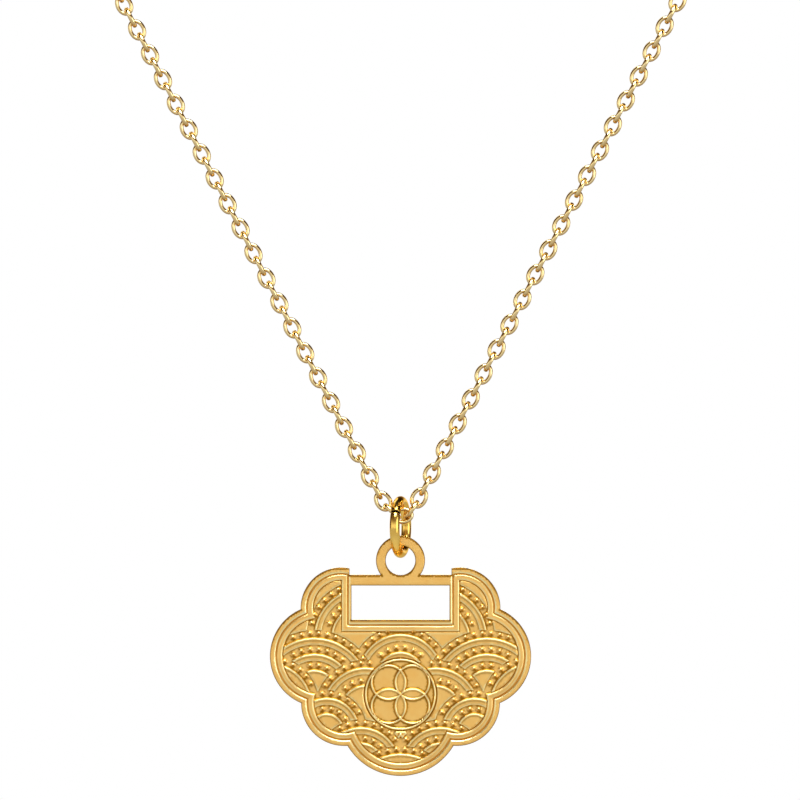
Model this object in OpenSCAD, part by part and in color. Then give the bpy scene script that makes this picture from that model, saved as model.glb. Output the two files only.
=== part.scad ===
// Lock-shaped pendant with wave relief on a cable chain, worn round the neck.
// Millimetres. +Z is up, the pendant hangs in front at -Y, and the origin is where the chain lies on the nape.

/* [Lock plate] */
// Width of the lock plate, which its lobes and its relief follow
plate_w = 26.1; // [22:0.1:30]
// Thickness of the plate and its bail ring
plate_t = 1.2; // [1:0.1:1.6]
// Half the width of the straight top bar between the two ears
notch_x = 5.1; // [4.8:0.1:5.3]
// Height of the top bar above the window
bar_h = 1.06; // [0.9:0.02:1.3]
// Width of the window
window_w = 9.8; // [8.6:0.1:10]
// Height of the window
window_h = 3.44; // [2.8:0.02:3.5]
// Width of the flat frame beside the window
frame_w = 0.25; // [0.2:0.01:0.4]
// Height of the flat frame below the window
frame_low_h = 0.42; // [0.3:0.01:0.6]
// Outer diameter of the bail ring
bail_d = 4.9; // [4.6:0.1:5.4]
// Diameter of the bail ring's hole
bail_hole_d = 2.96; // [2.8:0.02:3.2]
// How far the bail ring sinks into the top bar
bail_sink = 1; // [0.8:0.05:1.1]

/* [Relief] */
// Width of the flat rim along the outline
rim_w = 0.52; // [0.4:0.02:0.7]
// Depth of the field inside the rim
field_h = 0.3; // [0.2:0.02:0.4]
// Width of the groove between the rim and its inner ridge
groove_w = 0.16; // [0.12:0.01:0.22]
// Width of the inner ridge of the rim
rim_ridge_w = 0.6; // [0.5:0.01:0.66]
// Width of the thin ridge along each band of a scale
ridge_w = 0.27; // [0.2:0.01:0.32]
// Height of the thin raised ridges above the field
ridge_h = 0.24; // [0.15:0.01:0.3]
// Height of the flat bands inside the ridges
band_h = 0.12; // [0.08:0.01:0.16]
// Diameter of the raised dots
dot_d = 0.46; // [0.36:0.01:0.5]
// Distance between neighbouring dots of a row
dot_step = 0.88; // [0.7:0.01:1.1]
// Diameter of the round medallion
medal_d = 7.2; // [6.4:0.1:7.6]

/* [Jump ring] */
// Outer diameter of the jump ring
ring_d = 6.2; // [5.8:0.1:6.6]
// Wire of the jump ring
ring_wire = 1; // [0.8:0.05:1.1]
// Turn of the jump ring about the vertical
ring_turn = 13; // [0:1:20]
// Width of the butt cut in the jump ring
ring_cut = 0.08; // [0.05:0.01:0.15]
// Height of the butt cut round the ring, as an angle above the ring's middle
ring_cut_at = 32; // [10:1:50]

/* [Chain] */
// Length of a link over its ends
link_l = 2.2; // [2.1:0.01:2.3]
// Width of a link over its sides
link_w = 1.66; // [1.56:0.01:1.76]
// Wire of a link
link_wire = 0.34; // [0.3:0.01:0.36]
// Clearance between links that hook into each other, and under the jump ring
link_gap = 0.12; // [0.1:0.01:0.14]
// Links on each side of the middle one that are modelled singly
side_links = 43; // [38:1:46]
// Lean of the straight strands from the vertical
strand_lean = 27.5; // [25:0.5:30]

/* [Neck loop] */
// How far the chain's middle link hangs below the nape
drop = 118; // [112:1:124]
// How far it hangs in front of the nape
reach = 104; // [98:1:110]
// Width of the chain's loop round the neck
loop_w = 108; // [102:1:114]

/* [Clasp] */
// Outer diameter of the closed spring ring at the nape
clasp_d = 5.5; // [5:0.1:6]
// Thickness of the spring ring's round body
clasp_wire = 1.2; // [1:0.05:1.4]
// Outer diameter of the small loop soldered to the spring ring
loop_d = 2.4; // [2.2:0.1:2.8]
// Wire of the small loop
loop_wire = 0.5; // [0.4:0.05:0.6]

/* [Hidden] */
fine = 64;
round_fn = 24;
dot_fn = 16;
wire_fn = 14;

// Where the chain's middle link hangs, from the nape
hang = [0, -reach, -drop];

// The way round the neck on the right side, from the strand's end to the clasp,
// as shares of half the loop's width, the reach and the drop
back_route = [[0.85, -0.82, -0.34], [1, -0.52, -0.17], [0.87, -0.21, -0.06], [0.48, -0.05, -0.01]];
neck_y = -reach / 2;
lead_in = 30;
route_steps = 8;
tube_sides = 8;
loop_lap = 0.35;

// The right lobes of the plate and the bottom one, as shares of its width: x, z, radius.
// Heights are from the top edge of the bar.
ear = [0.2276, -0.1268, 0.1548] * plate_w;
side = [0.305, -0.3111, 0.195] * plate_w;
low = [0.2157, -0.49, 0.1648] * plate_w;
bottom = [0, -0.5333, 0.2364] * plate_w;

// Wave scales from the back layer to the front one, as shares of the plate's width:
// x, z, radius of the outer dot row, distance to the next row, and then how many rows it has,
// and where its first dot sits from the row's top, in steps.
scale_r = 2;
scale_gap = 3;
scale_rows = 4;
scale_start = 5;
scales = [
    [0.1419, -0.2388, 0.2067, 0.0655, 2, 0],
    [0, -0.3900, 0.1808, 0.0682, 2, 0.5],
    [0.3303, -0.4536, 0.2299, 0.0613, 3, 0.5],
    [0.4931, -0.4920, 0.1682, 0.0620, 1, 0.5],
    [0.1352, -0.5211, 0.1835, 0.0674, 2, 0.5],
    [0.2828, -0.5969, 0.1433, 0.0590, 2, 0.5],
    [0.1521, -0.7341, 0.1682, 0.0594, 2, 0.5],
    [0, -0.8935, 0.2261, 0.0620, 1, 0.5],
];
medal_z = -0.4575 * plate_w;

// Rows of a scale, inwards from its dot row: ridge and then flat band
ridge_in = 0.43;
band_in = 1.14;
edge_out = 0.32;
field_gap = 0.06;
field_clear = 0.1;
core_lap = 0.5;
dot_lap = 0.08;

bail_z = bail_d / 2 - bail_sink;
frame_x = window_w / 2 + frame_w;
frame_z = -bar_h - window_h - frame_low_h;
ridge_field = groove_w + rim_ridge_w + field_gap;
front_y = -plate_t / 2;

// Jump ring and where the plate hangs on it
ring_r = (ring_d - ring_wire) / 2;
ring_top = link_w / 2 + link_gap;
ring_z = -(ring_d / 2 - ring_wire) + ring_top;
ring_foot_z = ring_z - ring_r;
bail_gap = 0.25;
plate_z = ring_foot_z + ring_wire / 2 + bail_gap - bail_hole_d / 2 - bail_z;

// A link's centre line has two half rounds and two straight sides
bend_r = (link_w - link_wire) / 2;
straight = link_l - link_w;
pitch = link_l - 2 * link_wire - link_gap;

// Leans of the first links beside the middle one, before the strands run straight
left_leans = [48, 34];
right_leans = [36, 28];
middle_x = 0.2;
middle_tilt = 5;

// The bent links sit a little closer, so that they keep the clearance of the straight ones
middle_slack = 0.17;
bend_slack = 0.04;

function lean(leans, i) = i < len(leans) ? leans[i] : strand_lean;
function step(leans, i) = pitch - (i < len(leans) ? bend_slack : 0);
function out_dir(leans, i, s) = [s * sin(lean(leans, i)), cos(lean(leans, i))];
function first_hook(s) =
    let (reach = pitch / 2 - middle_slack)
    [middle_x + s * reach * cos(middle_tilt), s * reach * sin(middle_tilt)];
function hooks(leans, s, i = 0, at = undef) =
    let (p = i == 0 ? first_hook(s) : at)
    i == side_links ? [p] : concat([p], hooks(leans, s, i + 1, p + step(leans, i) * out_dir(leans, i, s)));

module link() {
    for (half = [0, 180]) {
        rotate([0, 0, half]) {
            translate([straight / 2, 0, 0])
                rotate([0, 0, -90])
                    rotate_extrude(angle = 180, $fn = round_fn)
                        translate([bend_r, 0])
                            circle(d = link_wire, $fn = wire_fn);
            translate([-straight / 2, bend_r, 0])
                rotate([0, 90, 0])
                    cylinder(h = straight, d = link_wire, $fn = wire_fn);
        }
    }
}

// A link whose length lies along an angle from +X in the XZ plane; roll 90 shows its oval to the front
module link_at(x, z, angle, roll) {
    translate(hang + [x, 0, z])
        rotate([0, -angle, 0])
            rotate([roll, 0, 0])
                link();
}

module strand(leans, s) {
    h = hooks(leans, s);
    for (i = [0:side_links - 1]) {
        mid = (h[i] + h[i + 1]) / 2;
        angle = atan2(h[i + 1][1] - h[i][1], h[i + 1][0] - h[i][0]);
        link_at(mid[0], mid[1], angle, i % 2 == 0 ? 0 : 90);
    }
}

module chain_front() {
    color("gold") {
        link_at(middle_x, 0, middle_tilt, 90);
        strand(left_leans, -1);
        strand(right_leans, 1);
    }
}

// The hidden rest of the chain, as a tube along points from the end of a straight strand to the clasp
function at_hang(p) = hang + [p[0], 0, p[1]];
function strand_end(leans, s) = at_hang(hooks(leans, s)[side_links]);
function strand_dir(s) = [s * sin(strand_lean), 0, cos(strand_lean)];
tube_lap = (link_l - pitch) / 2 + link_gap;
function route(leans, s, last_x) =
    let (first = strand_end(leans, s) + tube_lap * strand_dir(s))
    concat([first - lead_in * strand_dir(s), first],
        [for (p = back_route) [s * p[0] * loop_w / 2, p[1] * reach, p[2] * drop]],
        [[last_x, 0, 0], [last_x - s * lead_in, 0, 0]]);
function curve(a, b, c, d, t) =
    (2 * b + (c - a) * t + (2 * a - 5 * b + 4 * c - d) * t * t + (3 * b - a - 3 * c + d) * t * t * t) / 2;
function along(r) = concat(
    [for (i = [1:len(r) - 3]) for (k = [0:route_steps - 1])
        curve(r[i - 1], r[i], r[i + 1], r[i + 2], k / route_steps)],
    [r[len(r) - 2]]);
function unit(v) = v / norm(v);
function tangent(p, i) = unit(p[min(i + 1, len(p) - 1)] - p[max(i - 1, 0)]);
function tube_ring(p, i) =
    let (t = tangent(p, i),
         out = [p[i][0], p[i][1] - neck_y, 0],
         u = unit(cross(t, out)),
         v = cross(t, u))
    [for (n = [0:tube_sides - 1]) let (a = 360 * n / tube_sides) p[i] + link_w / 2 * (cos(a) * u + sin(a) * v)];

module tube(r) {
    p = along(r);
    n = len(p);
    polyhedron(
        points = [for (i = [0:n - 1]) each tube_ring(p, i)],
        faces = concat(
            [[for (k = [0:tube_sides - 1]) k]],
            [for (i = [0:n - 2]) for (k = [0:tube_sides - 1])
                let (m = (k + 1) % tube_sides, a = i * tube_sides, b = a + tube_sides)
                [a + m, a + k, b + k, b + m]],
            [[for (k = [tube_sides - 1:-1:0]) (n - 1) * tube_sides + k]]));
}

module chain_back() {
    color("gold") {
        tube(route(left_leans, -1, -clasp_d / 2 - link_gap));
        tube(route(right_leans, 1, clasp_d / 2 + loop_d - loop_lap + link_gap));
    }
}

module ring_wire_at(x, d, wire) {
    translate([x, 0, 0])
        rotate([90, 0, 0])
            rotate_extrude($fn = fine)
                translate([(d - wire) / 2, 0])
                    circle(d = wire, $fn = round_fn);
}

module clasp() {
    color("goldenrod") {
        ring_wire_at(0, clasp_d, clasp_wire);
        ring_wire_at((clasp_d + loop_d) / 2 - loop_lap, loop_d, loop_wire);
    }
}

module jump_ring() {
    cut = ring_cut / ring_r * 180 / PI;
    color("goldenrod")
        translate(hang + [0, 0, ring_z])
            rotate([90, 0, 270 - ring_turn])
                rotate([0, 0, ring_cut_at + cut / 2])
                    rotate_extrude(angle = 360 - cut, $fn = fine)
                        translate([ring_r, 0])
                            circle(d = ring_wire, $fn = round_fn);
}

function centre(c) = [c[0], c[1]];
core = [[-core_lap, ear[1]], centre(ear), centre(side), centre(low), centre(bottom), [-core_lap, bottom[1]]];

module both() {
    children();
    mirror([1, 0]) children();
}

module disc(p, r, fn = fine) {
    translate([p[0], p[1]]) circle(r = r, $fn = fn);
}

module lobes(g) {
    both() for (l = [ear, side, low]) disc(l, l[2] - g);
    disc(bottom, bottom[2] - g);
}

// The lobed shape with its lobes moved inwards by g
module inset(g) {
    lobes(g);
    both() polygon(core);
}

module outline() {
    difference() {
        union() {
            inset(0);
            translate([-notch_x, ear[1] - core_lap]) square([2 * notch_x, core_lap - ear[1]]);
        }
        translate([-notch_x, 0]) square([2 * notch_x, ear[2]]);
        translate([-window_w / 2, -bar_h - window_h]) square([window_w, window_h]);
    }
}

// The recessed field inside the rim and the window's frame, moved inwards by g
module field(g) {
    difference() {
        inset(rim_w + g);
        translate([-frame_x - g, frame_z - g]) square([2 * (frame_x + g), ear[2] - frame_z + 2 * g]);
    }
}

// Scales with their sizes in millimetres, from the back layer to the front, right ones and left ones
function sized(s) = [s[0] * plate_w, s[1] * plate_w, s[2] * plate_w, s[3] * plate_w, s[4], s[5]];
function flipped(s) = [-s[0], s[1], s[2], s[3], s[4], s[5]];
layers = [for (s = scales) let (m = sized(s)) m[0] == 0 ? [m] : [m, flipped(m)]];

module in_front(k) {
    for (j = [k + 1:1:len(layers) - 1])
        for (s = layers[j]) disc(s, s[scale_r] + edge_out);
    disc([0, medal_z], medal_d / 2 + field_clear);
}

// One row of a scale between two distances inside its dots; a full last row reaches the scale's middle
module row_ring(s, row, from, to, full) {
    r = s[scale_r] - row * s[scale_gap];
    difference() {
        disc(s, r - from);
        if (!full || row < s[scale_rows] - 1) disc(s, r - to);
    }
}

// Rings of every scale where nothing lies in front
module rings(from, to, full) {
    intersection() {
        field(ridge_field);
        union() for (k = [0:len(layers) - 1]) {
            difference() {
                for (s = layers[k]) intersection() {
                    union() for (row = [0:s[scale_rows] - 1]) row_ring(s, row, from, to, full);
                    if (len(layers[k]) == 2)
                        translate([s[0] > 0 ? 0 : -plate_w, -plate_w]) square([plate_w, plate_w]);
                }
                in_front(k);
            }
        }
    }
}

// The flat field that no scale covers
module bare_field() {
    difference() {
        field(ridge_field);
        in_front(-1);
    }
}

module rim_ridge() {
    difference() {
        field(groove_w);
        field(groove_w + rim_ridge_w);
    }
}

// Dots: the points of every row that lie in the field with nothing in front of them
dot_edge = groove_w + rim_ridge_w - dot_lap;
function dist(p, c) = norm([p[0] - c[0], p[1] - c[1]]);
function in_lobes(p) =
    let (q = [abs(p[0]), p[1]])
    len([for (l = [ear, side, low, bottom]) if (dist(q, l) < l[2] - rim_w - dot_edge) 1]) > 0 ||
    (q[0] < low[0] && q[1] > bottom[1] && q[1] < ear[1]);
function in_frame(p) = abs(p[0]) < frame_x + dot_edge && p[1] > frame_z - dot_edge;
function covered(p, k) =
    dist(p, [0, medal_z]) < medal_d / 2 + dot_d / 2 ||
    len([for (j = [k + 1:1:len(layers) - 1]) for (s = layers[j])
        if (dist(p, s) < s[scale_r] + edge_out + dot_d / 4) 1]) > 0;
dots = [for (k = [0:len(layers) - 1]) for (s = layers[k]) for (row = [0:s[scale_rows] - 1])
    let (r = s[scale_r] - row * s[scale_gap], turn = dot_step / r * 180 / PI)
    for (n = [0:1:floor(90 / turn)]) for (way = [-1, 1])
        let (a = 90 + way * (n + s[scale_start]) * turn, p = [s[0] + r * cos(a), s[1] + r * sin(a)])
        if (in_lobes(p) && !in_frame(p) && !covered(p, k) && p[0] * s[0] >= 0) p];

// A generic four-petal ornament in the round medallion
petal_r = 0.235 * medal_d;
module medallion() {
    translate([0, medal_z]) {
        difference() {
            circle(d = medal_d, $fn = fine);
            circle(d = medal_d - 2 * ridge_w, $fn = fine);
        }
        intersection() {
            circle(d = medal_d - ridge_w, $fn = fine);
            for (a = [45:90:315]) rotate([0, 0, a]) translate([petal_r, 0]) difference() {
                circle(r = petal_r + ridge_w / 2, $fn = fine);
                circle(r = petal_r - ridge_w / 2, $fn = fine);
            }
        }
    }
}

module raised(h) {
    rotate([90, 0, 0])
        translate([0, 0, -front_y - field_h - field_clear])
            linear_extrude(h + field_clear)
                children();
}

module slab(from_y, to_y) {
    rotate([90, 0, 0]) translate([0, 0, -from_y]) linear_extrude(from_y - to_y) children();
}

module lock_plate() {
    color("gold") translate(hang + [0, 0, plate_z]) {
        difference() {
            union() {
                difference() {
                    slab(-front_y, front_y) outline();
                    slab(front_y + field_h, front_y - field_h) field(0);
                }
                slab(-front_y, front_y) difference() {
                    disc([0, bail_z], bail_d / 2);
                    translate([-bail_d / 2, -bar_h - bail_d]) square([bail_d, bail_d]);
                }
            }
            slab(plate_t, -plate_t) disc([0, bail_z], bail_hole_d / 2);
        }
        raised(ridge_h) rim_ridge();
        raised(ridge_h) rings(ridge_in, ridge_in + ridge_w, false);
        raised(band_h) rings(ridge_in + ridge_w / 2, band_in, true);
        raised(band_h) bare_field();
        raised(ridge_h) for (p = dots) disc(p, dot_d / 2, dot_fn);
        raised(ridge_h) medallion();
    }
}

lock_plate();
jump_ring();
chain_front();
chain_back();
clasp();
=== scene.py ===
"""Looks of a lock-shaped gold pendant on a cable chain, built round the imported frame. Metres, +Z up."""

import math

import bpy
import numpy as np
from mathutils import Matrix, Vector
from mathutils.geometry import delaunay_2d_cdt
from mathutils.kdtree import KDTree


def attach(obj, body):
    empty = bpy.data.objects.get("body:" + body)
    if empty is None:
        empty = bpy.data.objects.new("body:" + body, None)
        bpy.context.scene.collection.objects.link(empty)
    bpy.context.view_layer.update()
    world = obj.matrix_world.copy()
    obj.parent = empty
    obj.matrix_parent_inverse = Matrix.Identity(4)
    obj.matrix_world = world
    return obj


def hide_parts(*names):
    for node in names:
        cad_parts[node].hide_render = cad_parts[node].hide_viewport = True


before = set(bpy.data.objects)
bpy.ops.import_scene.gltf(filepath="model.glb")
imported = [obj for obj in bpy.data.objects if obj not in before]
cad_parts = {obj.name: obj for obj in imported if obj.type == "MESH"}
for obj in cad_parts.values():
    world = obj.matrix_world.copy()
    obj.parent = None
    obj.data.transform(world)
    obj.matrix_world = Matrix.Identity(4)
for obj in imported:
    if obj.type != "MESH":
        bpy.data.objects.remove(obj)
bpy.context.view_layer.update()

MM = 0.001

# Sizes of the frame's solids, in millimetres
DROP, REACH, LOOP_W = 118.0, 104.0, 108.0
HANG = np.array([0.0, -REACH, -DROP])
LINK_L, LINK_W, LINK_WIRE, LINK_GAP = 2.2, 1.66, 0.34, 0.12
SIDE_LINKS, STRAND_LEAN = 43, 27.5
LEFT_LEANS, RIGHT_LEANS = [48, 34], [36, 28]
MIDDLE_X, MIDDLE_TILT, MIDDLE_SLACK, BEND_SLACK = 0.2, 5, 0.17, 0.04
RING_D, RING_WIRE, RING_TURN, RING_CUT, RING_CUT_AT = 6.2, 1.0, 13, 0.08, 32
CLASP_D, LOOP_D, LOOP_LAP = 5.5, 2.4, 0.35
PLATE_W, PLATE_T = 26.1, 1.2
BACK_ROUTE = [[0.85, -0.82, -0.34], [1, -0.52, -0.17], [0.87, -0.21, -0.06], [0.48, -0.05, -0.01]]
LEAD_IN = 30.0
PITCH = LINK_L - 2 * LINK_WIRE - LINK_GAP

# A link's wire is a little thicker than the frame's plain one: across the link's plane and in it
WIRE_THICK, WIRE_WIDE = 0.48, 0.4

# Fineness of the chain: points along a link's wire and round it, and steps along each stretch of the route
LINK_STEPS, LINK_SIDES, ROUTE_STEPS = 28, 12, 60

# Camera: the photograph's frame is 80 mm wide where the pendant hangs
FRAME_W = 80.0
CAMERA_AWAY = 900.0
CENTRE_X, CENTRE_Z = -0.05, -106.45
SENSOR = 36.0
CLIP_NEAR, CLIP_FAR = 0.01, 20


# Meshes

def mesh_object(name, verts, faces, smooth=True):
    mesh = bpy.data.meshes.new(name)
    mesh.from_pydata([tuple(v) for v in verts], [], [tuple(f) for f in faces])
    mesh.update()
    if smooth:
        mesh.polygons.foreach_set("use_smooth", [True] * len(mesh.polygons))
    obj = bpy.data.objects.new(name, mesh)
    bpy.context.scene.collection.objects.link(obj)
    return obj


def set_painted_light(obj, values):
    """Keeps at each point how much painted shade or painted highlight the metal gets there, for the
    materials.
    """
    painted_light_of = obj.data.attributes.new("painted_light", "FLOAT", "POINT")
    painted_light_of.data.foreach_set("value", values)


def closed_tube(path, normals, radius_n, radius_b, sides):
    """A ring-shaped tube along a closed path; normals point out of the path's plane of bend."""
    n = len(path)
    t = np.roll(path, -1, 0) - np.roll(path, 1, 0)
    t /= np.linalg.norm(t, axis=1)[:, None]
    b = np.cross(t, normals)
    a = np.linspace(0, 2 * math.pi, sides, endpoint=False)
    around = (radius_n * np.cos(a))[None, :, None] * normals[:, None, :]
    around = around + (radius_b * np.sin(a))[None, :, None] * b[:, None, :]
    verts = (path[:, None, :] + around).reshape(-1, 3)
    faces = []
    for i in range(n):
        j = (i + 1) % n
        for k in range(sides):
            m = (k + 1) % sides
            faces.append((i * sides + k, j * sides + k, j * sides + m, i * sides + m))
    return verts, faces


def link_mesh():
    """One link about its middle: length along X, an oval in the XY plane."""
    a = np.linspace(0, 2 * math.pi, LINK_STEPS, endpoint=False)
    nought, one = np.zeros(LINK_STEPS), np.ones(LINK_STEPS)
    length, width = LINK_L - LINK_WIRE, LINK_W - LINK_WIRE
    path = np.stack([length / 2 * np.cos(a), width / 2 * np.sin(a), nought], 1)
    out = np.stack([nought, nought, one], 1)
    return closed_tube(path, out, WIRE_THICK / 2, WIRE_WIDE / 2, LINK_SIDES)


def turned(verts, axis_x, axis_y, at):
    """Points turned so that X lies along axis_x and Y lies near axis_y, then moved to at."""
    x = axis_x / np.linalg.norm(axis_x)
    z = np.cross(x, axis_y)
    z /= np.linalg.norm(z)
    y = np.cross(z, x)
    return verts[:, :1] * x + verts[:, 1:2] * y + verts[:, 2:] * z + at


def chain_object(name, links):
    """Joins links given as (middle, direction of length, direction of width); upward sides get painted
    shade.
    """
    verts, faces = link_mesh()
    all_v, all_f = [], []
    for k, (at, along, wide) in enumerate(links):
        all_v.append(turned(verts, along, wide, at))
        base = k * len(verts)
        all_f += [tuple(base + i for i in f) for f in faces]
    obj = mesh_object(name, np.concatenate(all_v) * MM, all_f)
    normals = np.zeros(3 * len(obj.data.vertices))
    obj.data.vertices.foreach_get("normal", normals)
    # Painted shade on the links' upward sides, set from each point's upward normal
    set_painted_light(obj, normals[2::3])
    return obj


# The chain in front, its links where the frame has them; s is -1 for the left strand and 1 for the right

def hooks(leans, s):
    """Where a strand's links hook into each other, from the middle link upwards, as x and z."""
    start = PITCH / 2 - MIDDLE_SLACK
    tilt = math.radians(MIDDLE_TILT)
    points = [np.array([MIDDLE_X + s * start * math.cos(tilt), s * start * math.sin(tilt)])]
    for i in range(SIDE_LINKS):
        bent = i < len(leans)
        step = PITCH - (BEND_SLACK if bent else 0)
        lean = math.radians(leans[i] if bent else STRAND_LEAN)
        points.append(points[-1] + step * np.array([s * math.sin(lean), math.cos(lean)]))
    return points


def front_links():
    """Every second link shows its oval to the front."""
    edge_on = np.array([0.0, 1.0, 0.0])
    tilt = math.radians(MIDDLE_TILT)
    along = np.array([math.cos(tilt), 0, math.sin(tilt)])
    links = [(HANG + [MIDDLE_X, 0, 0], along, np.cross(edge_on, along))]
    for leans, s in ((LEFT_LEANS, -1), (RIGHT_LEANS, 1)):
        h = hooks(leans, s)
        for i in range(SIDE_LINKS):
            mid, d = (h[i] + h[i + 1]) / 2, h[i + 1] - h[i]
            along = np.array([d[0], 0, d[1]])
            wide = edge_on if i % 2 == 0 else np.cross(along, edge_on)
            links.append((HANG + [mid[0], 0, mid[1]], along, wide))
    return links


# The chain behind: links along the hidden route round the neck

def strand_dir(s):
    a = math.radians(STRAND_LEAN)
    return np.array([s * math.sin(a), 0, math.cos(a)])


def route(leans, s, last_x):
    """Points along a smooth way from a strand's last front link round the neck to the clasp, at last_x."""
    end = hooks(leans, s)[-1]
    first = HANG + [end[0], 0, end[1]] + ((LINK_L - PITCH) / 2 + LINK_GAP) * strand_dir(s)
    points = [first - LEAD_IN * strand_dir(s), first]
    points += [np.array([s * p[0] * LOOP_W / 2, p[1] * REACH, p[2] * DROP]) for p in BACK_ROUTE]
    points += [np.array([last_x, 0.0, 0.0]), np.array([last_x - s * LEAD_IN, 0.0, 0.0])]
    path = []
    for i in range(1, len(points) - 2):
        a, b, c, d = points[i - 1:i + 3]
        for t in np.linspace(0, 1, ROUTE_STEPS, endpoint=False):
            path.append((2 * b + (c - a) * t + (2 * a - 5 * b + 4 * c - d) * t ** 2
                         + (3 * b - a - 3 * c + d) * t ** 3) / 2)
    path.append(points[-2])
    return np.array(path)


def back_links(path):
    """Whole links spread evenly along a path, each a quarter turn from the last, flat sides to the neck."""
    runs = np.concatenate([[0], np.cumsum(np.linalg.norm(np.diff(path, axis=0), axis=1))])
    count = round((runs[-1] - LINK_L) / PITCH) + 1
    pitch = (runs[-1] - LINK_L) / (count - 1)
    links = []
    for k in range(count):
        mid = LINK_L / 2 + k * pitch
        ends = [np.array([np.interp(mid + o, runs, path[:, c]) for c in range(3)])
                for o in (-pitch / 2, pitch / 2)]
        along = ends[1] - ends[0]
        at = (ends[0] + ends[1]) / 2
        out = np.cross(along, [at[0], at[1] + REACH / 2, 0.0])
        wide = out if k % 2 == 0 else np.cross(along, out)
        links.append((at, along, wide))
    return links


front = chain_object("chain_links_front", front_links())
left_path = route(LEFT_LEANS, -1, -CLASP_D / 2 - LINK_GAP)
right_path = route(RIGHT_LEANS, 1, CLASP_D / 2 + LOOP_D - LOOP_LAP + LINK_GAP)
back = chain_object("chain_links_back", back_links(left_path) + back_links(right_path))


# The jump ring: a round wire with a butt cut

RING_Z = -(RING_D / 2 - RING_WIRE) + LINK_W / 2 + LINK_GAP
RING_R = (RING_D - RING_WIRE) / 2
RING_STEPS, RING_SIDES = 120, 32

# The rounded ends at the cut: distance along the wire, how much thinner it is there, and how much painted
# shade it gets
CUT_ENDS = [(0.0, 0.13, 1.0), (0.03, 0.06, 1.0), (0.08, 0.02, 0.6), (0.15, 0.0, 0.1)]


def jump_ring_object():
    """The open ring; painted shade is 1 on the faces of the cut and fades over their rounded edge."""
    turn = math.radians(RING_TURN)
    front_way = np.array([-math.sin(turn), -math.cos(turn), 0.0])
    up = np.array([0.0, 0.0, 1.0])
    side_way = np.cross(front_way, up)
    start = math.radians(RING_CUT_AT) + RING_CUT / 2 / RING_R
    full = 2 * math.pi - RING_CUT / RING_R
    ends = [(along / RING_R, less, tint) for along, less, tint in CUT_ENDS]
    body = [(t, 0.0, 0.0) for t in np.linspace(ends[-1][0], full - ends[-1][0], RING_STEPS + 2)[1:-1]]
    rows = ends + body + [(full - t, less, tint) for t, less, tint in ends[::-1]]
    verts, tints, faces = [], [], []
    around = np.linspace(0, 2 * math.pi, RING_SIDES, endpoint=False)
    for t, less, tint in rows:
        out = math.cos(start + t) * front_way + math.sin(start + t) * up
        middle = HANG + [0, 0, RING_Z] + RING_R * out
        wire = RING_WIRE / 2 - less
        verts += [middle + wire * (math.cos(a) * out + math.sin(a) * side_way) for a in around]
        tints += [tint] * RING_SIDES
    last = (len(rows) - 1) * RING_SIDES
    for i in range(0, last, RING_SIDES):
        j = i + RING_SIDES
        for k in range(RING_SIDES):
            m = (k + 1) % RING_SIDES
            faces.append((i + k, i + m, j + m, j + k))
    faces += [tuple(range(RING_SIDES))[::-1], tuple(last + k for k in range(RING_SIDES))]
    obj = mesh_object("jump_ring_wire", np.array(verts) * MM, faces)
    # Painted shade on the faces of the cut
    set_painted_light(obj, tints)
    return obj


ring = jump_ring_object()


# The lock plate, drawn in its own plane: x to the right and z up from the bar's top edge

NOTCH_X, BAR_H, WINDOW_W, WINDOW_H, PLATE_FRAME_W, FRAME_LOW_H = 5.1, 1.06, 9.8, 3.44, 0.25, 0.42
BAIL_D, BAIL_HOLE_D, BAIL_SINK, BAIL_GAP = 4.9, 2.96, 1.0, 0.25
RIM_W, FIELD_H, GROOVE_W, RIM_RIDGE_W, FIELD_GAP = 0.52, 0.3, 0.16, 0.6, 0.06
RIDGE_W, RIDGE_H, BAND_H, RIDGE_IN, BAND_IN, EDGE_OUT = 0.27, 0.24, 0.12, 0.43, 1.14, 0.32
DOT_D, DOT_STEP, DOT_LAP, MEDAL_D, CORE_LAP = 0.46, 0.88, 0.08, 7.2, 0.5

# The lobes as circles: x, z and radius
EAR = np.array([0.2276, -0.1268, 0.1548]) * PLATE_W
SIDE = np.array([0.305, -0.3111, 0.195]) * PLATE_W
LOW = np.array([0.2157, -0.49, 0.1648]) * PLATE_W
BOTTOM = np.array([0, -0.5333, 0.2364]) * PLATE_W
LOBES = (EAR, SIDE, LOW, BOTTOM)

MEDAL = (0, -0.4575 * PLATE_W)
MEDAL_MARGIN = 0.1
PETAL_R = 0.235 * MEDAL_D
PETAL_AT = PETAL_R / math.sqrt(2)
PETALS = [(x, MEDAL[1] + z) for x in (-PETAL_AT, PETAL_AT) for z in (-PETAL_AT, PETAL_AT)]
BAIL_Z = BAIL_D / 2 - BAIL_SINK
FRAME_X = WINDOW_W / 2 + PLATE_FRAME_W
FRAME_Z = -BAR_H - WINDOW_H - FRAME_LOW_H
RIDGE_FIELD = GROOVE_W + RIM_RIDGE_W + FIELD_GAP

# Shapes across the relief: the power that makes ridges full, the rim ridge's step, foot and crest, the
# groove's floor, and the bevel along the plate's edges
RIDGE_POWER = 0.6
RIM_STEP, RIM_FOOT, RIM_CREST = 0.75, 0.06, 0.7
GROOVE_H = 0.06
BEVEL = 0.08

# Wave scales from the back layer to the front: x, z, radius of the dot row, distance of the rows, rows,
# and where the first dot sits from the row's top, in steps
SCALES = [
    [0.1419, -0.2388, 0.2067, 0.0655, 2, 0],
    [0, -0.3900, 0.1808, 0.0682, 2, 0.5],
    [0.3303, -0.4536, 0.2299, 0.0613, 3, 0.5],
    [0.4931, -0.4920, 0.1682, 0.0620, 1, 0.5],
    [0.1352, -0.5211, 0.1835, 0.0674, 2, 0.5],
    [0.2828, -0.5969, 0.1433, 0.0590, 2, 0.5],
    [0.1521, -0.7341, 0.1682, 0.0594, 2, 0.5],
    [0, -0.8935, 0.2261, 0.0620, 1, 0.5],
]
SCALES = [[v * PLATE_W for v in s[:4]] + s[4:] for s in SCALES]
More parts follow.
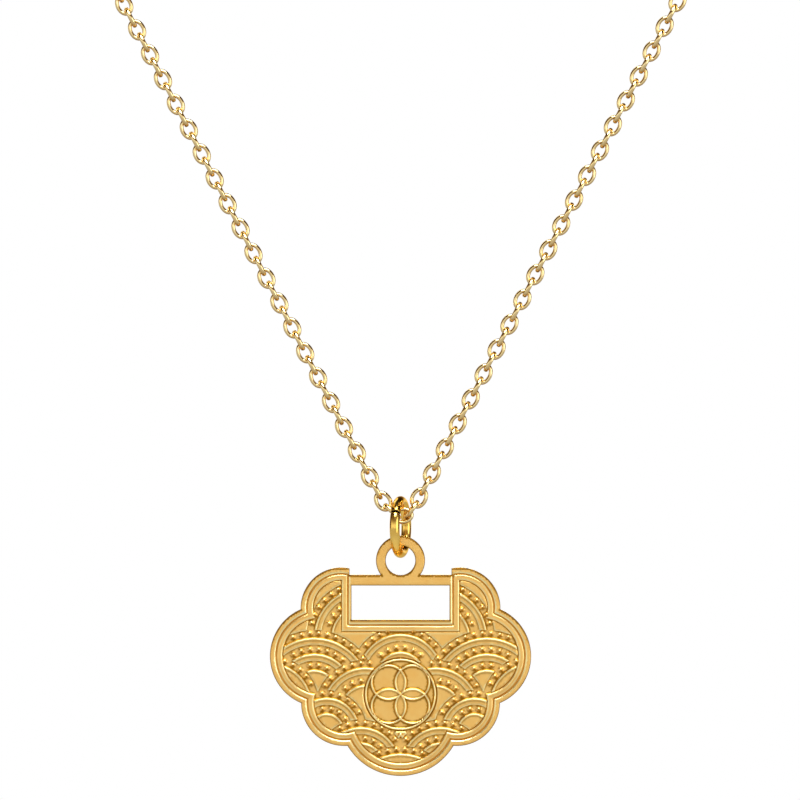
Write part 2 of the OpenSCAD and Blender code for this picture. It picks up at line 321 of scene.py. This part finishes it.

# Painted shade and painted highlight by how far a point lies below what is round it: how far round and in
# how many ways it is compared, then the painted shade given to the groove, to the plate's edges and to the
# low side of each dot
HOLLOW_REACH, HOLLOW_RAYS = 0.16, 6
GROOVE_LIP, GROOVE_SHADE, GROOVE_TINT = 0.01, 0.03, 0.11
EDGE_TINT, EDGE_SHADE = 1.0, 0.7
DOT_SHADE, DOT_SHADE_AT, DOT_SHADE_R, DOT_SHADE_EDGE = 0.3, (0.12, -0.38), 0.75, 1.3

# Lines of mesh points along the relief: their steps, and their places across a ridge, a step or the rim
EDGE_STEP, RIM_LINE_STEP, BAND_LINE_STEP, RING_LINE_STEP = 0.12, 0.12, 0.11, 0.1
ACROSS = (-0.08, 0.0, 0.1, 0.3, 0.5, 0.7, 0.9, 1.0, 1.08)
STEP_SIDE = 0.015
FIELD_IN = 0.02
GROOVE_LINES = [-0.02, 0.03, GROOVE_W / 2, GROOVE_W - 0.03]
CROWN_LINES = [0.0, RIM_FOOT, 0.22, 0.4, 0.55, RIM_CREST, 0.8, 0.9, 0.96, 1.0]
FIELD_LINE = RIDGE_FIELD + 0.005
BAR_MIDDLE_Z = 1.0

# Rings of mesh points in a dot: share of its radius and how many points
DOT_RINGS = ((0.4, 6), (0.7, 10), (0.9, 12), (1.0, 14))

# The grids that fill the front and the back, the least distance between points of the dots, of the lines
# and of the grid, and the distance that all keep from the edges and from the middle line
GRID_STEP, BACK_GRID_STEP, GRID_LOW, GRID_HIGH = 0.17, 0.9, -20, 4.2
SPACINGS = [0.03, 0.018, 0.09]
EDGE_CLEAR, BACK_EDGE_CLEAR, MIDDLE_CLEAR = 0.07, 0.3, 0.02
CELL = 0.05
MITRE_LEAST = 0.5
ON_LINE, SAME_POINT = 1e-6, 1e-7


def meet(a, b, g=0.0):
    """Where two circles, each smaller by g, cross on the side away from the plate's middle."""
    d = b[:2] - a[:2]
    length = np.linalg.norm(d)
    along = (length ** 2 + (a[2] - g) ** 2 - (b[2] - g) ** 2) / (2 * length)
    off = math.sqrt((a[2] - g) ** 2 - along ** 2)
    return a[:2] + (d * along + np.array([-d[1], d[0]]) * off) / length


PAIRS = [(EAR, SIDE), (SIDE, LOW), (LOW, BOTTOM)]
CUSPS = [meet(a, b) for a, b in PAIRS]

# The plate's middle, inside the lobes' middles, counts as deeper than any relief at the rim
CORE = np.array([[-CORE_LAP, EAR[1]], EAR[:2], SIDE[:2], LOW[:2], BOTTOM[:2], [-CORE_LAP, BOTTOM[1]]])
CORE_DEPTH = 3.0


def point_tree(points):
    tree = KDTree(len(points))
    for i, p in enumerate(points):
        tree.insert((p[0], p[1], 0), i)
    tree.balance()
    return tree


def in_polygon(q, poly):
    inside = np.zeros(len(q), bool)
    for a, b in zip(poly, np.roll(poly, -1, 0)):
        crosses = (a[1] > q[:, 1]) != (b[1] > q[:, 1])
        with np.errstate(divide="ignore", invalid="ignore"):
            x = (b[0] - a[0]) * (q[:, 1] - a[1]) / (b[1] - a[1]) + a[0]
        inside ^= crosses & (q[:, 0] < x)
    return inside


def away(q, c):
    return np.hypot(q[:, 0] - c[0], q[:, 1] - c[1])


def lobe_depth(q):
    return np.max([l[2] - away(q, l) for l in LOBES], axis=0)


def rim_depth(q):
    """How far points lie inside the lobed outline; q has x >= 0."""
    d = lobe_depth(q)
    return np.where(in_polygon(q, CORE), np.maximum(d, CORE_DEPTH), d)


def frame_depth(q):
    """How far points lie outside the window's frame; q has x >= 0."""
    return np.maximum(q[:, 0] - FRAME_X, FRAME_Z - q[:, 1])


def field_depth(q):
    return np.minimum(rim_depth(q) - RIM_W, frame_depth(q))


def owner(q):
    """Which scale covers each point: its index, -1 for the bare field, len(SCALES) for the medallion."""
    own = np.full(len(q), -1)
    for k, s in enumerate(SCALES):
        own[away(q, s) < s[2] + EDGE_OUT] = k
    own[away(q, MEDAL) < MEDAL_D / 2 + MEDAL_MARGIN] = len(SCALES)
    return own


def ridge_shape(t, left, right):
    """A round ridge from a foot of height left at t = 0 to one of height right at t = 1."""
    t = np.clip(t, 0, 1)
    foot = left + (right - left) * t
    return foot + (RIDGE_H - foot) * np.sin(math.pi * t) ** RIDGE_POWER


def rim_ridge_shape(t):
    """The broad ridge inside the rim: a step, a slow rise to its crest and a steep fall."""
    t = np.clip(t, 0, 1)
    rise = RIM_STEP + (1 - RIM_STEP) * np.sin(math.pi / 2 * np.minimum(t / RIM_CREST, 1))
    fall = np.sqrt(1 - (np.maximum(0, t - RIM_CREST) / (1 - RIM_CREST)) ** 2)
    return RIDGE_H * np.minimum(rise, t / RIM_FOOT) * fall


def scale_height(q, s):
    """A scale's rows: each has a ridge and a band inside its dots; only the last has no inner edge."""
    t = s[2] - away(q, s)
    row = np.clip(np.floor((t + EDGE_OUT) / s[3]), 0, s[4] - 1)
    u = t - row * s[3]
    h = np.where(u > RIDGE_IN, ridge_shape((u - RIDGE_IN) / RIDGE_W, 0, BAND_H), 0.0)
    h = np.where(u > RIDGE_IN + RIDGE_W, BAND_H, h)
    return np.where((row < s[4] - 1) & (u > BAND_IN), 0.0, h)


def medal_height(q):
    """The medallion: a ring, and four round petals that are raised where two of them overlap."""
    r = away(q, MEDAL)
    inner = MEDAL_D / 2 - RIDGE_W
    to_petal = [away(q, petal) - PETAL_R for petal in PETALS]
    in_two = np.sum([t < 0 for t in to_petal], axis=0) > 1
    near = np.min(np.abs(to_petal), axis=0)
    foot = np.where(in_two, BAND_H, 0.0)
    crown = np.maximum(0, np.cos(math.pi * near / RIDGE_W)) ** RIDGE_POWER
    h = np.where(near < RIDGE_W / 2, np.maximum(foot, RIDGE_H * crown), foot)
    h = np.where(r > inner, ridge_shape((r - inner) / RIDGE_W, 0, 0), h)
    return np.where(r > MEDAL_D / 2, 0.0, h)


def dot_places():
    """Middles of the right half's dots that no rim, frame, medallion or nearer scale covers."""
    places = []
    for k, s in enumerate(SCALES):
        for row in range(s[4]):
            r = s[2] - row * s[3]
            turn = DOT_STEP / r
            for n in range(int(math.pi / 2 / turn) + 1):
                for way in (-1, 1):
                    a = math.pi / 2 + way * (n + s[5]) * turn
                    places.append((s[0] + r * math.cos(a), s[1] + r * math.sin(a), k))
    p = np.array(places)
    q, k = p[:, :2], p[:, 2]
    g = GROOVE_W + RIM_RIDGE_W - DOT_LAP
    in_lobes = lobe_depth(q) > RIM_W + g
    in_lobes |= (q[:, 0] < LOW[0]) & (q[:, 1] > BOTTOM[1]) & (q[:, 1] < EAR[1])
    keep = (q[:, 0] >= 0) & in_lobes & ~((q[:, 0] < FRAME_X + g) & (q[:, 1] > FRAME_Z - g))
    keep &= away(q, MEDAL) > MEDAL_D / 2 + DOT_D / 2
    for j, s in enumerate(SCALES):
        keep &= ~((j > k) & (away(q, s) < s[2] + EDGE_OUT + DOT_D / 4))
    return q[keep]


DOTS = dot_places()
DOT_TREE = point_tree(DOTS)


def relief(q):
    """Height of the front above the field's floor, for points with x >= 0 inside the outline."""
    f = field_depth(q)
    h = np.zeros(len(q))
    own = owner(q)
    for k, s in enumerate(SCALES):
        m = own == k
        h[m] = scale_height(q[m], s)
    h[own == -1] = BAND_H
    m = own == len(SCALES)
    h[m] = medal_height(q[m])
    near = np.array([DOT_TREE.find((x, z, 0))[2] for x, z in q])
    dome = np.sqrt(np.maximum(0, 1 - (near / (DOT_D / 2)) ** 2)) * RIDGE_H
    h[f < RIDGE_FIELD] = 0
    m = (f >= GROOVE_W) & (f <= GROOVE_W + RIM_RIDGE_W)
    h[m] = rim_ridge_shape((f[m] - GROOVE_W) / RIM_RIDGE_W)
    m = (f >= 0) & (f < GROOVE_W)
    h[m] = GROOVE_H + (FIELD_H - GROOVE_H) * np.maximum(0, 1 - f[m] / GROOVE_W * 2)
    outer_foot = (f >= GROOVE_W) & (f < RIDGE_FIELD - FIELD_GAP - RIM_RIDGE_W / 2)
    h = np.where(outer_foot, np.maximum(h, GROOVE_H), h)
    h = np.maximum(h, np.where(own < len(SCALES), dome, 0))
    return np.where(f < 0, FIELD_H, h)


def to_right(verts):
    """Points carried over to the half with x >= 0."""
    return np.abs(verts) * [1, 0] + verts * [0, 1]


def painted_light(q, h):
    """How far the front lies below what is round it, over the field's depth; below nought on crests. It
    gives painted shade in creases and a painted highlight on crests.
    """
    around = np.zeros(len(q))
    for t in np.arange(HOLLOW_RAYS) * 2 * math.pi / HOLLOW_RAYS:
        around += relief(to_right(q + HOLLOW_REACH * np.array([math.cos(t), math.sin(t)])))
    return (around / HOLLOW_RAYS - h) / FIELD_H


def dot_shade(verts, q):
    """Painted shade low on each dot's cap, a little to the right; q is verts carried over to the right
    half.
    """
    nearest = DOTS[[DOT_TREE.find((x, z, 0))[1] for x, z in q]]
    mirror = np.stack([np.where(verts[:, 0] < 0, -1, 1), np.ones(len(q))], 1)
    off = (q - nearest) * mirror / (DOT_D / 2)
    return DOT_SHADE * np.clip(DOT_SHADE_EDGE * (1 - away(off, DOT_SHADE_AT) / DOT_SHADE_R), 0, 1)


def circle_points(c, r, step):
    a = np.arange(0, 2 * math.pi, step / max(r, step))
    return np.stack([c[0] + r * np.cos(a), c[1] + r * np.sin(a)], 1)


def arc(c, start, end):
    """Edge points along the clockwise arc of a circle from start to end, without the end."""
    a = math.atan2(start[1] - c[1], start[0] - c[0])
    b = math.atan2(end[1] - c[1], end[0] - c[0])
    turn = (a - b) % (2 * math.pi)
    n = max(2, round(turn * c[2] / EDGE_STEP))
    t = a - turn * np.arange(n) / n
    return np.stack([c[0] + c[2] * np.cos(t), c[1] + c[2] * np.sin(t)], 1)


def line(start, end, step):
    start, end = np.array(start, float), np.array(end, float)
    n = max(1, round(np.linalg.norm(end - start) / step))
    return start + (end - start) * (np.arange(n) / n)[:, None]


def outline_loops():
    """The plate's outer edge, its window and the bail's hole, each as points along a closed way."""
    bail = (0, BAIL_Z, BAIL_D / 2)
    foot = (math.sqrt((BAIL_D / 2) ** 2 - BAIL_Z ** 2), 0.0)
    notch_z = EAR[1] + math.sqrt(EAR[2] ** 2 - (NOTCH_X - EAR[0]) ** 2)
    lowest = (0, BOTTOM[1] - BOTTOM[2])
    right = np.concatenate([
        arc(bail, (0, BAIL_Z + BAIL_D / 2), foot),
        line(foot, (NOTCH_X, 0), EDGE_STEP),
        line((NOTCH_X, 0), (NOTCH_X, notch_z), EDGE_STEP),
        arc(EAR, (NOTCH_X, notch_z), CUSPS[0]),
        arc(SIDE, CUSPS[0], CUSPS[1]),
        arc(LOW, CUSPS[1], CUSPS[2]),
        arc(BOTTOM, CUSPS[2], lowest),
        [lowest],
    ])
    left = right[1:-1][::-1] * [-1, 1]
    x, top, low = WINDOW_W / 2, -BAR_H, -BAR_H - WINDOW_H
    corners = [(-x, low), (x, low), (x, top), (-x, top)]
    sides = zip(corners, corners[1:] + corners[:1])
    window = np.concatenate([line(a, b, EDGE_STEP) for a, b in sides])
    return [np.concatenate([right, left]), window, circle_points((0, BAIL_Z), BAIL_HOLE_D / 2, EDGE_STEP)]


def inner_ring(loop, distance):
    """A loop moved to its right-hand side, which is where the metal lies when it runs clockwise outside."""
    before, after = loop - np.roll(loop, 1, 0), np.roll(loop, -1, 0) - loop
    n0 = np.stack([before[:, 1], -before[:, 0]], 1) / np.linalg.norm(before, axis=1)[:, None]
    n1 = np.stack([after[:, 1], -after[:, 0]], 1) / np.linalg.norm(after, axis=1)[:, None]
    mid = n0 + n1
    return loop + mid * (distance / np.maximum(MITRE_LEAST, (mid * n0).sum(1)))[:, None]


def in_plate(p, loops):
    inside = in_polygon(p, loops[0])
    for hole in loops[1:]:
        inside &= ~in_polygon(p, hole)
    return inside


def in_field(q):
    return field_depth(q) > RIDGE_FIELD + FIELD_IN


def feature_points():
    """Points along both sides and the crown of every ridge and step, on the right half."""
    found = []

    def take(points, keep):
        q = points[points[:, 0] >= 0]
        found.append(q[keep(q)])

    for g in GROOVE_LINES + [GROOVE_W + RIM_RIDGE_W * t for t in CROWN_LINES] + [FIELD_LINE]:
        on_line = lambda q, g=g: np.abs(field_depth(q) - g) < ON_LINE
        corner = (FRAME_X + g, FRAME_Z - g)
        take(np.array([meet(a, b, RIM_W + g) for a, b in PAIRS]), on_line)
        for l in LOBES:
            take(circle_points(l, l[2] - RIM_W - g, RIM_LINE_STEP), on_line)
        take(line((0, FRAME_Z - g), corner, RIM_LINE_STEP), on_line)
        take(line(corner, (FRAME_X + g, BAR_MIDDLE_Z), RIM_LINE_STEP), on_line)
    for k, s in enumerate(SCALES):
        mine = lambda q, k=k: in_field(q) & (owner(q) == k)
        beyond = lambda q, k=k: in_field(q) & (owner(q) < k)
        take(circle_points(s, s[2] + EDGE_OUT - STEP_SIDE, RING_LINE_STEP), mine)
        take(circle_points(s, s[2] + EDGE_OUT + STEP_SIDE, RING_LINE_STEP), beyond)
        for row in range(s[4]):
            r = s[2] - row * s[3]
            ends = [BAND_IN - STEP_SIDE, BAND_IN + STEP_SIDE] if row < s[4] - 1 else []
            for u in [RIDGE_IN + RIDGE_W * t for t in ACROSS] + ends:
                take(circle_points(s, r - u, BAND_LINE_STEP), mine)
    on_medal = lambda q: in_field(q) & (owner(q) == len(SCALES))
    off_medal = lambda q: in_field(q) & (owner(q) < len(SCALES))
    in_ring = lambda q: away(q, MEDAL) < MEDAL_D / 2 - RIDGE_W - FIELD_IN
    edge_r = MEDAL_D / 2 + MEDAL_MARGIN
    for r in [edge_r - STEP_SIDE] + [MEDAL_D / 2 - RIDGE_W * (1 - t) for t in ACROSS]:
        take(circle_points(MEDAL, r, RING_LINE_STEP), on_medal)
    take(circle_points(MEDAL, edge_r + STEP_SIDE, RING_LINE_STEP), off_medal)
    for petal in PETALS:
        for t in ACROSS:
            take(circle_points(petal, PETAL_R + RIDGE_W * (t - 0.5), RING_LINE_STEP), in_ring)
    return np.concatenate(found)


def dot_points():
    found = []
    for d in DOTS:
        found.append(d[None, :])
        for share, count in DOT_RINGS:
            a = np.arange(count) * 2 * math.pi / count
            found.append(d + share * DOT_D / 2 * np.stack([np.cos(a), np.sin(a)], 1))
    return np.concatenate(found)


def hex_grid(step):
    """A triangular grid over the right half."""
    found = []
    for i, z in enumerate(np.arange(GRID_LOW, GRID_HIGH, step * math.sqrt(3) / 2)):
        x = np.arange(step / 4 + (i % 2) * step / 2, PLATE_W / 2, step)
        found.append(np.stack([x, np.full(len(x), z)], 1))
    return np.concatenate(found)


def thinned(groups, spacings):
    """Points of the groups in turn, without those nearer to a kept one than their group's spacing."""
    cells, kept = {}, []
    for points, spacing in zip(groups, spacings):
        reach = math.ceil(spacing / CELL)
        for x, z in points:
            i, j = math.floor(x / CELL), math.floor(z / CELL)
            around = (p for a in range(i - reach, i + reach + 1) for b in range(j - reach, j + reach + 1)
                      for p in cells.get((a, b), ()))
            if all((p[0] - x) ** 2 + (p[1] - z) ** 2 >= spacing ** 2 for p in around):
                cells.setdefault((i, j), []).append((x, z))
                kept.append((x, z))
    return np.array(kept)


def inner_points(points, loops, edge_tree, gap):
    """The points that lie in the plate, right of its middle line and farther than gap from its edges."""
    points = points[in_plate(points, loops) & (points[:, 0] > MIDDLE_CLEAR)]
    return np.array([p for p in points if edge_tree.find((p[0], p[1], 0))[2] > gap])


def loop_edges(loops):
    """Pairs of neighbours along the loops, whose points are numbered one loop after the other."""
    edges, base = [], 0
    for loop in loops:
        n = len(loop)
        edges += [(base + i, base + (i + 1) % n) for i in range(n)]
        base += n
    return edges


def triangulated(loops, rings, right):
    """Triangles over the plate; right holds the right half's inner points, which are mirrored."""
    coords = np.concatenate(loops + rings + [right, right * [-1, 1]])
    points = [Vector(p) for p in coords.tolist()]
    verts, _, faces, _, _, _ = delaunay_2d_cdt(points, loop_edges(loops), [], 0, SAME_POINT)
    if len(coords) != len(verts):
        raise RuntimeError("two of the plate's points fell together")
    verts = np.array([tuple(v) for v in verts])
    faces = np.array([f for f in faces if len(f) == 3])
    return verts, faces[in_plate(verts[faces].mean(1), loops)]


def facing(verts, faces, way):
    """The triangles, turned where needed so that all look forwards, way -1, or backwards, way 1."""
    tri = verts[faces]
    normal_y = np.cross(tri[:, 1] - tri[:, 0], tri[:, 2] - tri[:, 0])[:, 1]
    return np.where((way * normal_y < 0)[:, None], faces[:, ::-1], faces)


def lock_plate_object():
    """The plate, and each face's place in its materials: 1 for the walls round its edges, 0 elsewhere."""
    loops = outline_loops()
    rings = [inner_ring(loop, BEVEL) for loop in loops]
    edges, insets = np.concatenate(loops), np.concatenate(rings)
    edge_n = len(edges)
    edge_tree = point_tree(np.concatenate([edges, insets]))

    points = thinned([dot_points(), feature_points(), hex_grid(GRID_STEP)], SPACINGS)
    flat, faces = triangulated(loops, rings, inner_points(points, loops, edge_tree, EDGE_CLEAR))
    q = to_right(flat)
    h = relief(q)
    # Painted shade in creases and a painted highlight on crests
    tint = painted_light(q, h)
    # Painted shade on the low right side of each dot
    shade = dot_shade(flat, q)
    tint = np.where(shade > 0, np.maximum(tint, shade), tint)
    f = field_depth(q)
    # Painted shade along the groove inside the rim
    tint[(f > -GROOVE_LIP) & (f < GROOVE_W + GROOVE_SHADE)] = GROOVE_TINT
    # Painted shade as a dark line along the front's outer edge
    tint[:edge_n] = EDGE_TINT
    # Painted shade on the bevel where the plate's edges face up
    tint[edge_n:2 * edge_n] = EDGE_SHADE * np.maximum(0, (edges - insets)[:, 1]) / BEVEL
    h -= FIELD_H
    h[:edge_n] = -BEVEL
    front_side = np.stack([flat[:, 0], -PLATE_T / 2 - h, flat[:, 1]], 1)

    back_points = inner_points(hex_grid(BACK_GRID_STEP), loops, edge_tree, BACK_EDGE_CLEAR)
    flat, back_faces = triangulated(loops, rings, back_points)
    back_y = np.full(len(flat), PLATE_T / 2)
    back_y[:edge_n] -= BEVEL
    back_side = np.stack([flat[:, 0], back_y, flat[:, 1]], 1)

    shift = len(front_side)
    walls = [(b, a, a + shift, b + shift) for a, b in loop_edges(loops)]
    all_faces = facing(front_side, faces, -1).tolist()
    all_faces += (facing(back_side, back_faces, 1) + shift).tolist() + walls
    plate_z = RING_Z - RING_R + RING_WIRE / 2 + BAIL_GAP - BAIL_HOLE_D / 2 - BAIL_Z
    verts = (np.concatenate([front_side, back_side]) + HANG + [0, 0, plate_z]) * MM
    obj = mesh_object("lock_plate_relief", verts, all_faces)
    set_painted_light(obj, np.concatenate([tint, np.zeros(len(back_side))]))
    material_index = np.zeros(len(all_faces), int)
    material_index[-len(walls):] = 1
    return obj, material_index


plate, plate_material_index = lock_plate_object()


# Materials

EDGE_GOLD = (1.0, 0.82, 0.5)
TONE_SCALE, TONE_DETAIL, GRAIN_DETAIL = 900, 3, 2
TONE_LOW, TONE_HIGH = 0.3, 0.7


def node_material(name):
    mat = bpy.data.materials.new(name)
    mat.use_nodes = True
    nodes = mat.node_tree.nodes
    nodes.clear()
    out = nodes.new("ShaderNodeOutputMaterial")
    shader = nodes.new("ShaderNodeBsdfPrincipled")
    mat.node_tree.links.new(shader.outputs[0], out.inputs[0])
    return mat, shader


def noise(tree, scale, detail):
    """Noise over the object, as a socket from 0 to 1."""
    place = tree.nodes.new("ShaderNodeTexCoord")
    node = tree.nodes.new("ShaderNodeTexNoise")
    node.inputs["Scale"].default_value = scale
    node.inputs["Detail"].default_value = detail
    tree.links.new(place.outputs["Object"], node.inputs["Vector"])
    return node.outputs["Fac"]


def mapped(tree, value, source, target=(0, 1)):
    """A socket's value carried over from the source range to the target range, and held within it."""
    node = tree.nodes.new("ShaderNodeMapRange")
    for name, number in zip(("From Min", "From Max", "To Min", "To Max"), (*source, *target)):
        node.inputs[name].default_value = number
    tree.links.new(value, node.inputs["Value"])
    return node.outputs["Result"]


def colour_ramp(tree, level, stops):
    """The colour at a level, from stops of (level, colour)."""
    ramp = tree.nodes.new("ShaderNodeValToRGB")
    elements = ramp.color_ramp.elements
    while len(elements) < len(stops):
        elements.new(0.5)
    for element, (at, colour) in zip(elements, stops):
        element.position = at
        element.color = (*colour, 1)
    tree.links.new(level, ramp.inputs["Fac"])
    return ramp.outputs["Color"]


def gold(name, pale, deep, rough, rough_spread, grain, grain_depth, painted_light_tints=()):
    """Gold with uneven tone and roughness and a fine grain; the tints are (from, to, tint) over each
    point's value of painted shade and painted highlight.
    """
    mat, shader = node_material(name)
    tree = mat.node_tree
    tone = noise(tree, TONE_SCALE, TONE_DETAIL)
    colour = colour_ramp(tree, tone, ((TONE_LOW, deep), (TONE_HIGH, pale)))
    # Painted shade and painted highlight, mixed into the colour by each point's value
    for low, high, tint in painted_light_tints:
        painted_light_attribute = tree.nodes.new("ShaderNodeAttribute")
        painted_light_attribute.attribute_name = "painted_light"
        mix = tree.nodes.new("ShaderNodeMixRGB")
        mix.inputs["Color2"].default_value = (*tint, 1)
        tree.links.new(mapped(tree, painted_light_attribute.outputs["Fac"], (low, high)), mix.inputs["Fac"])
        tree.links.new(colour, mix.inputs["Color1"])
        colour = mix.outputs["Color"]
    tree.links.new(colour, shader.inputs["Base Color"])
    roughness = mapped(tree, tone, (0, 1), (rough - rough_spread, rough + rough_spread))
    tree.links.new(roughness, shader.inputs["Roughness"])
    bump = tree.nodes.new("ShaderNodeBump")
    bump.inputs["Distance"].default_value = grain_depth
    bump.inputs["Strength"].default_value = 1
    tree.links.new(noise(tree, grain, GRAIN_DETAIL), bump.inputs["Height"])
    tree.links.new(bump.outputs["Normal"], shader.inputs["Normal"])
    shader.inputs["Metallic"].default_value = 1.0
    shader.inputs["Specular Tint"].default_value = (*EDGE_GOLD, 1)
    return mat


# The satin's tints: a painted highlight on crests, then painted shade in creases, in the groove, along the
# edges and on the dots' low sides
satin = gold("satin_gold", pale=(1.0, 0.64, 0.2), deep=(0.97, 0.56, 0.15), rough=0.33, rough_spread=0.05,
             grain=9000, grain_depth=0.000006,
             painted_light_tints=[(-0.02, -0.22, (1.0, 0.9, 0.45)), (0.01, 0.24, (0.4, 0.19, 0.015)),
                      (0.4, 1.0, (0.12, 0.05, 0.01))])
# The ring's tint is near-black painted shade on the faces of its cut
ring_gold = gold("ring_gold", pale=(1.0, 0.68, 0.17), deep=(0.92, 0.55, 0.1), rough=0.17,
                 rough_spread=0.05, grain=3000, grain_depth=0.000004,
                 painted_light_tints=[(0.1, 0.9, (0.03, 0.015, 0.003))])
polished = gold("polished_gold", pale=(1.0, 0.66, 0.18), deep=(0.92, 0.54, 0.1), rough=0.12,
                rough_spread=0.04, grain=3000, grain_depth=0.000004)
# The chain's tint is painted shade on the links' upward sides
chain_gold = gold("chain_gold", pale=(1.0, 0.81, 0.43), deep=(0.98, 0.74, 0.34), rough=0.09,
                  rough_spread=0.03, grain=4000, grain_depth=0.000003,
                  painted_light_tints=[(0.15, 0.8, (0.36, 0.19, 0.05))])


def finish_piece(obj, mat, body, node):
    obj.data.materials.append(mat)
    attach(obj, body)
    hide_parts(node)


finish_piece(front, chain_gold, "necklace", "chain_front")
finish_piece(back, chain_gold, "necklace", "chain_back")

finish_piece(plate, satin, "lock", "lock_plate")
plate.data.materials.append(polished)
plate.data.polygons.foreach_set("material_index", plate_material_index)

finish_piece(ring, ring_gold, "ring", "jump_ring")

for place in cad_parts["clasp"].material_slots:
    place.material = polished


# Camera, lights, world and floor, from here on in metres

def look_at(obj, target):
    obj.rotation_mode = "QUATERNION"
    obj.rotation_quaternion = (Vector(target) - obj.location).to_track_quat("-Z", "Y")


camera_data = bpy.data.cameras.new("camera")
camera = bpy.data.objects.new("camera", camera_data)
bpy.context.scene.collection.objects.link(camera)
camera_data.sensor_width = SENSOR
camera_data.lens = SENSOR * CAMERA_AWAY / FRAME_W
camera_data.clip_start = CLIP_NEAR
camera_data.clip_end = CLIP_FAR
camera.location = (CENTRE_X * MM, (-REACH - CAMERA_AWAY) * MM, CENTRE_Z * MM)
look_at(camera, (CENTRE_X * MM, -REACH * MM, CENTRE_Z * MM))
bpy.context.scene.camera = camera

PENDANT = (0, -REACH * MM, -0.125)
LOOP_MIDDLE = (0, -0.05, -0.05)

# Name, place, target, width, height and power of each light
LIGHTS = [
    ("top", (0.05, -0.42, 0.42), PENDANT, 0.5, 0.35, 4.8),
    ("side", (0.6, -0.5, -0.05), PENDANT, 0.25, 0.5, 0.8),
    ("behind", (-0.3, 0.5, 0.5), LOOP_MIDDLE, 0.5, 0.5, 1.0),
]


def area_light(name, at, target, width, height, power):
    data = bpy.data.lights.new(name, "AREA")
    data.shape = "RECTANGLE"
    data.size = width
    data.size_y = height
    data.energy = power
    obj = bpy.data.objects.new(name, data)
    bpy.context.scene.collection.objects.link(obj)
    obj.location = at
    look_at(obj, target)


for light in LIGHTS:
    area_light(*light)

# Tone of the reflected studio by how far up and how far behind its direction points, from -1 at 0 to 1 at 1
WHITE = (1.0, 1.0, 1.0)
FRONT_WORLD, DIM_WORLD, DARK_WORLD = (1.07, 1.06, 1.02), (0.26, 0.18, 0.1), (0.08, 0.037, 0.009)
UP_STOPS = ((0.3, DIM_WORLD), (0.44, FRONT_WORLD), (0.56, FRONT_WORLD), (0.68, DIM_WORLD),
            (0.82, DARK_WORLD))
BACK_STOPS = ((0.45, WHITE), (0.56, DARK_WORLD), (0.86, DARK_WORLD), (0.94, WHITE))


def studio_world():
    """White all round, but metal reflects white round the horizon, dimmer below, dark above and behind."""
    world = bpy.data.worlds.new("studio")
    bpy.context.scene.world = world
    world.use_nodes = True
    tree = world.node_tree
    place = tree.nodes.new("ShaderNodeTexCoord")
    split = tree.nodes.new("ShaderNodeSeparateXYZ")
    tree.links.new(place.outputs["Generated"], split.inputs["Vector"])
    product = tree.nodes.new("ShaderNodeMixRGB")
    product.blend_type = "MULTIPLY"
    product.inputs["Fac"].default_value = 1
    for axis, stops, socket in (("Z", UP_STOPS, "Color1"), ("Y", BACK_STOPS, "Color2")):
        level = mapped(tree, split.outputs[axis], (-1, 1))
        tree.links.new(colour_ramp(tree, level, stops), product.inputs[socket])
    ray = tree.nodes.new("ShaderNodeLightPath")
    seen = tree.nodes.new("ShaderNodeMixRGB")
    seen.inputs["Color1"].default_value = (*WHITE, 1)
    tree.links.new(ray.outputs["Is Glossy Ray"], seen.inputs["Fac"])
    tree.links.new(product.outputs["Color"], seen.inputs["Color2"])
    background = tree.nodes["Background"]
    tree.links.new(seen.outputs["Color"], background.inputs["Color"])
    background.inputs["Strength"].default_value = 1.0


studio_world()
bpy.context.scene.view_settings.view_transform = "Standard"

FLOOR_Z = -0.9
FLOOR_HALF = 15.0
FLOOR_NOISE, FLOOR_ROUGH = 3, 0.9
FLOOR_STOPS = ((0, (0.57, 0.57, 0.57)), (1, (0.61, 0.61, 0.61)))


def floor_material():
    mat, shader = node_material("pale_floor")
    tree = mat.node_tree
    tone = tree.nodes.new("ShaderNodeTexNoise")
    tone.inputs["Scale"].default_value = FLOOR_NOISE
    tree.links.new(colour_ramp(tree, tone.outputs["Fac"], FLOOR_STOPS), shader.inputs["Base Color"])
    shader.inputs["Roughness"].default_value = FLOOR_ROUGH
    return mat


corners = [(-1, -1), (1, -1), (1, 1), (-1, 1)]
floor_points = [(x * FLOOR_HALF, y * FLOOR_HALF, FLOOR_Z) for x, y in corners]
floor = mesh_object("floor", floor_points, [(0, 1, 2, 3)], smooth=False)
floor.data.materials.append(floor_material())
